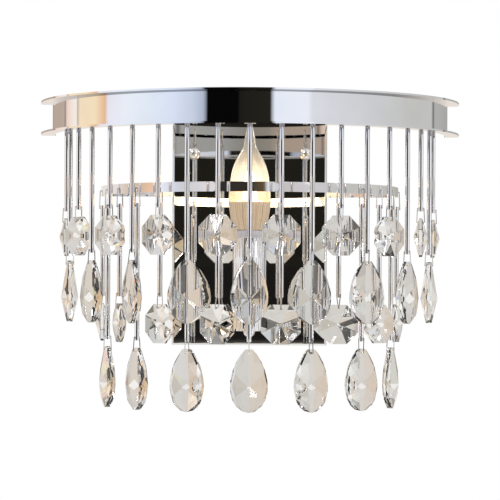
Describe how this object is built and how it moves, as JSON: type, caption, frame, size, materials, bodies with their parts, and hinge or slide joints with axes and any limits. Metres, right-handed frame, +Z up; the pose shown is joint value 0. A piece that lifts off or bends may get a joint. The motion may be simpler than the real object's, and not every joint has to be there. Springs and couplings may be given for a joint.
{
  "type": "crystal wall sconce",
  "caption": "Half-round wall light: chrome channel rim and inner ring with rods that carry pear and octagon crystals round one candle lamp on a polished back plate.",
  "frame": {"origin": "on the wall plane, midway between the two wall screw slots of the wall bracket", "axes": "+X along the wall to the right, +Y into the wall, +Z up; the light faces -Y"},
  "size_m": [0.3566, 0.1783, 0.258],
  "materials": {
    "chrome": "polished chrome plate",
    "hook_wire": "bright plated wire",
    "zinc_steel": "zinc-plated steel",
    "brass": "plain brass",
    "terminal_plastic": "moulded, matte",
    "holder_plastic": "pale grey moulding",
    "heat_sink": "champagne paint, satin",
    "led_guide": "milky light guide",
    "bulb_glass": "clear",
    "crystal": "cut and polished"
  },
  "bodies": {
    "root": {"wall_bracket": "zinc_steel", "bracket_studs": "zinc_steel", "ball_nuts": "chrome", "back_plate": "chrome", "terminal_block": "terminal_plastic", "earth_terminal": "brass", "upper_frame": "chrome", "lower_frame": "chrome", "outer_rim": "chrome", "rim_tabs": "chrome", "lamp_bracket": "chrome", "lamp_bracket_rivets": "zinc_steel", "lamp_bolt": "zinc_steel", "lamp_finial": "chrome", "lamp_sleeve": "chrome", "lampholder": "holder_plastic", "lampholder_contact": "brass", "outer_rods": "chrome", "inner_rods": "chrome", "rod_hooks": "hook_wire", "crystal_clips": "hook_wire"},
    "bulb": {"bulb_cap": "brass", "bulb_heat_sink": "heat_sink", "bulb_led_core": "led_guide", "bulb_glass": "bulb_glass"},
    "outer_octagon_01": {"outer_octagon_01": "crystal"},
    "outer_pendant_01": {"outer_pendant_01": "crystal"},
    "outer_octagon_02": {"outer_octagon_02": "crystal"},
    "outer_pendant_02": {"outer_pendant_02": "crystal"},
    "outer_octagon_03": {"outer_octagon_03": "crystal"},
    "outer_pendant_03": {"outer_pendant_03": "crystal"},
    "outer_octagon_04": {"outer_octagon_04": "crystal"},
    "outer_pendant_04": {"outer_pendant_04": "crystal"},
    "outer_octagon_05": {"outer_octagon_05": "crystal"},
    "outer_pendant_05": {"outer_pendant_05": "crystal"},
    "outer_octagon_06": {"outer_octagon_06": "crystal"},
    "outer_pendant_06": {"outer_pendant_06": "crystal"},
    "outer_octagon_07": {"outer_octagon_07": "crystal"},
    "outer_pendant_07": {"outer_pendant_07": "crystal"},
    "outer_octagon_08": {"outer_octagon_08": "crystal"},
    "outer_pendant_08": {"outer_pendant_08": "crystal"},
    "outer_octagon_09": {"outer_octagon_09": "crystal"},
    "outer_pendant_09": {"outer_pendant_09": "crystal"},
    "outer_octagon_10": {"outer_octagon_10": "crystal"},
    "inner_octagon_01": {"inner_octagon_01": "crystal"},
    "inner_pendant_01": {"inner_pendant_01": "crystal"},
    "inner_octagon_02": {"inner_octagon_02": "crystal"},
    "inner_pendant_02": {"inner_pendant_02": "crystal"},
    "inner_octagon_03": {"inner_octagon_03": "crystal"},
    "inner_pendant_03": {"inner_pendant_03": "crystal"},
    "inner_octagon_04": {"inner_octagon_04": "crystal"},
    "inner_pendant_04": {"inner_pendant_04": "crystal"},
    "inner_octagon_05": {"inner_octagon_05": "crystal"},
    "inner_pendant_05": {"inner_pendant_05": "crystal"},
    "inner_octagon_06": {"inner_octagon_06": "crystal"},
    "inner_pendant_06": {"inner_pendant_06": "crystal"},
    "inner_octagon_07": {"inner_octagon_07": "crystal"},
    "inner_pendant_07": {"inner_pendant_07": "crystal"},
    "inner_octagon_08": {"inner_octagon_08": "crystal"}
  },
  "joints": [
    {"name": "outer_octagon_01_swing", "type": "hinge", "parent": "root", "child": "outer_octagon_01", "pos_m": [-0.15555, -0.01717, -0.0588], "axis": [-1, -0.0052, 0], "range_deg": [0, 15]},
    {"name": "outer_pendant_01_swing", "type": "hinge", "parent": "root", "child": "outer_pendant_01", "pos_m": [-0.15074, -0.04209, -0.0948], "axis": [-0.9912, -0.1323, 0], "range_deg": [-15, 15]},
    {"name": "outer_octagon_02_swing", "type": "hinge", "parent": "root", "child": "outer_octagon_02", "pos_m": [-0.14195, -0.06589, -0.0588], "axis": [-0.7443, -0.6678, 0], "range_deg": [-15, 15]},
    {"name": "outer_pendant_02_swing", "type": "hinge", "parent": "root", "child": "outer_pendant_02", "pos_m": [-0.12944, -0.08797, -0.0948], "axis": [-0.8271, -0.5621, 0], "range_deg": [-15, 15]},
    {"name": "outer_octagon_03_swing", "type": "hinge", "parent": "root", "child": "outer_octagon_03", "pos_m": [-0.11352, -0.10773, -0.0588], "axis": [-0.6756, -0.7373, 0], "range_deg": [-15, 15]},
    {"name": "outer_pendant_03_swing", "type": "hinge", "parent": "root", "child": "outer_pendant_03", "pos_m": [-0.09462, -0.12466, -0.0948], "axis": [-0.9003, -0.4352, 0], "range_deg": [-15, 15]},
    {"name": "outer_octagon_04_swing", "type": "hinge", "parent": "root", "child": "outer_octagon_04", "pos_m": [-0.07323, -0.13831, -0.0588], "axis": [-0.6143, -0.7891, 0], "range_deg": [-15, 15]},
    {"name": "outer_pendant_04_swing", "type": "hinge", "parent": "root", "child": "outer_pendant_04", "pos_m": [-0.04992, -0.14833, -0.0948], "axis": [-0.0105, -0.9999, 0], "range_deg": [-15, 15]},
    {"name": "outer_octagon_05_swing", "type": "hinge", "parent": "root", "child": "outer_octagon_05", "pos_m": [-0.02529, -0.15444, -0.0588], "axis": [-0.3633, -0.9317, 0], "range_deg": [-15, 15]},
    {"name": "outer_pendant_05_swing", "type": "hinge", "parent": "root", "child": "outer_pendant_05", "pos_m": [0, -0.1565, -0.0948], "axis": [0.2588, -0.9659, 0], "range_deg": [-15, 15]},
    {"name": "outer_octagon_06_swing", "type": "hinge", "parent": "root", "child": "outer_octagon_06", "pos_m": [0.02529, -0.15444, -0.0588], "axis": [0.3633, -0.9317, 0], "range_deg": [-15, 15]},
    {"name": "outer_pendant_06_swing", "type": "hinge", "parent": "root", "child": "outer_pendant_06", "pos_m": [0.04992, -0.14833, -0.0948], "axis": [0.0105, -0.9999, 0], "range_deg": [-15, 15]},
    {"name": "outer_octagon_07_swing", "type": "hinge", "parent": "root", "child": "outer_octagon_07", "pos_m": [0.07323, -0.13831, -0.0588], "axis": [0.3404, -0.9403, 0], "range_deg": [-15, 15]},
    {"name": "outer_pendant_07_swing", "type": "hinge", "parent": "root", "child": "outer_pendant_07", "pos_m": [0.09462, -0.12466, -0.0948], "axis": [0.4258, -0.9048, 0], "range_deg": [-15, 15]},
    {"name": "outer_octagon_08_swing", "type": "hinge", "parent": "root", "child": "outer_octagon_08", "pos_m": [0.11352, -0.10773, -0.0588], "axis": [0.6756, -0.7373, 0], "range_deg": [-15, 15]},
    {"name": "outer_pendant_08_swing", "type": "hinge", "parent": "root", "child": "outer_pendant_08", "pos_m": [0.12944, -0.08797, -0.0948], "axis": [0.8271, -0.5621, 0], "range_deg": [-15, 15]},
    {"name": "outer_octagon_09_swing", "type": "hinge", "parent": "root", "child": "outer_octagon_09", "pos_m": [0.14195, -0.06589, -0.0588], "axis": [0.9963, -0.0854, 0], "range_deg": [-15, 15]},
    {"name": "outer_pendant_09_swing", "type": "hinge", "parent": "root", "child": "outer_pendant_09", "pos_m": [0.15074, -0.04209, -0.0948], "axis": [0.9912, -0.1323, 0], "range_deg": [-15, 15]},
    {"name": "outer_octagon_10_swing", "type": "hinge", "parent": "root", "child": "outer_octagon_10", "pos_m": [0.15555, -0.01717, -0.0588], "axis": [1, -0.0052, 0], "range_deg": [-15, 0]},
    {"name": "inner_octagon_01_swing", "type": "hinge", "parent": "root", "child": "inner_octagon_01", "pos_m": [-0.12485, -0.01699, -0.1305], "axis": [-0.9988, -0.048, 0], "range_deg": [0, 15]},
    {"name": "inner_pendant_01_swing", "type": "hinge", "parent": "root", "child": "inner_pendant_01", "pos_m": [-0.11877, -0.04206, -0.1665], "axis": [-0.9426, -0.3338, 0], "range_deg": [-15, 15]},
    {"name": "inner_octagon_02_swing", "type": "hinge", "parent": "root", "child": "inner_octagon_02", "pos_m": [-0.10772, -0.06537, -0.1305], "axis": [-0.955, -0.2965, 0], "range_deg": [-15, 15]},
    {"name": "inner_pendant_02_swing", "type": "hinge", "parent": "root", "child": "inner_pendant_02", "pos_m": [-0.09215, -0.08593, -0.1665], "axis": [-0.8387, -0.5446, 0], "range_deg": [-15, 15]},
    {"name": "inner_octagon_03_swing", "type": "hinge", "parent": "root", "child": "inner_octagon_03", "pos_m": [-0.07272, -0.1029, -0.1305], "axis": [-0.6852, -0.7284, 0], "range_deg": [-15, 15]},
    {"name": "inner_pendant_03_swing", "type": "hinge", "parent": "root", "child": "inner_pendant_03", "pos_m": [-0.05024, -0.11555, -0.1665], "axis": [-0.4772, -0.8788, 0], "range_deg": [-15, 15]},
    {"name": "inner_octagon_04_swing", "type": "hinge", "parent": "root", "child": "inner_octagon_04", "pos_m": [-0.02566, -0.12336, -0.1305], "axis": [-0.541, -0.841, 0], "range_deg": [-15, 15]},
    {"name": "inner_pendant_04_swing", "type": "hinge", "parent": "root", "child": "inner_pendant_04", "pos_m": [0, -0.126, -0.1665], "axis": [0, -1, 0], "range_deg": [-15, 15]},
    {"name": "inner_octagon_05_swing", "type": "hinge", "parent": "root", "child": "inner_octagon_05", "pos_m": [0.02566, -0.12336, -0.1305], "axis": [-0.0044, -1, 0], "range_deg": [-15, 15]},
    {"name": "inner_pendant_05_swing", "type": "hinge", "parent": "root", "child": "inner_pendant_05", "pos_m": [0.05024, -0.11555, -0.1665], "axis": [0.4772, -0.8788, 0], "range_deg": [-15, 15]},
    {"name": "inner_octagon_06_swing", "type": "hinge", "parent": "root", "child": "inner_octagon_06", "pos_m": [0.07272, -0.1029, -0.1305], "axis": [0.0044, -1, 0], "range_deg": [-15, 15]},
    {"name": "inner_pendant_06_swing", "type": "hinge", "parent": "root", "child": "inner_pendant_06", "pos_m": [0.09215, -0.08593, -0.1665], "axis": [0.515, -0.8572, 0], "range_deg": [-15, 15]},
    {"name": "inner_octagon_07_swing", "type": "hinge", "parent": "root", "child": "inner_octagon_07", "pos_m": [0.10772, -0.06537, -0.1305], "axis": [0.6788, -0.7343, 0], "range_deg": [-15, 15]},
    {"name": "inner_pendant_07_swing", "type": "hinge", "parent": "root", "child": "inner_pendant_07", "pos_m": [0.11877, -0.04206, -0.1665], "axis": [0.9426, -0.3338, 0], "range_deg": [-15, 15]},
    {"name": "inner_octagon_08_swing", "type": "hinge", "parent": "root", "child": "inner_octagon_08", "pos_m": [0.12485, -0.01699, -0.1305], "axis": [0.9524, -0.3049, 0], "range_deg": [-15, 0]},
    {"name": "bulb_unscrew", "type": "hinge", "parent": "root", "child": "bulb", "pos_m": [0, -0.065, -0.0662], "axis": [0, 0, 1], "continuous": true}
  ]
}
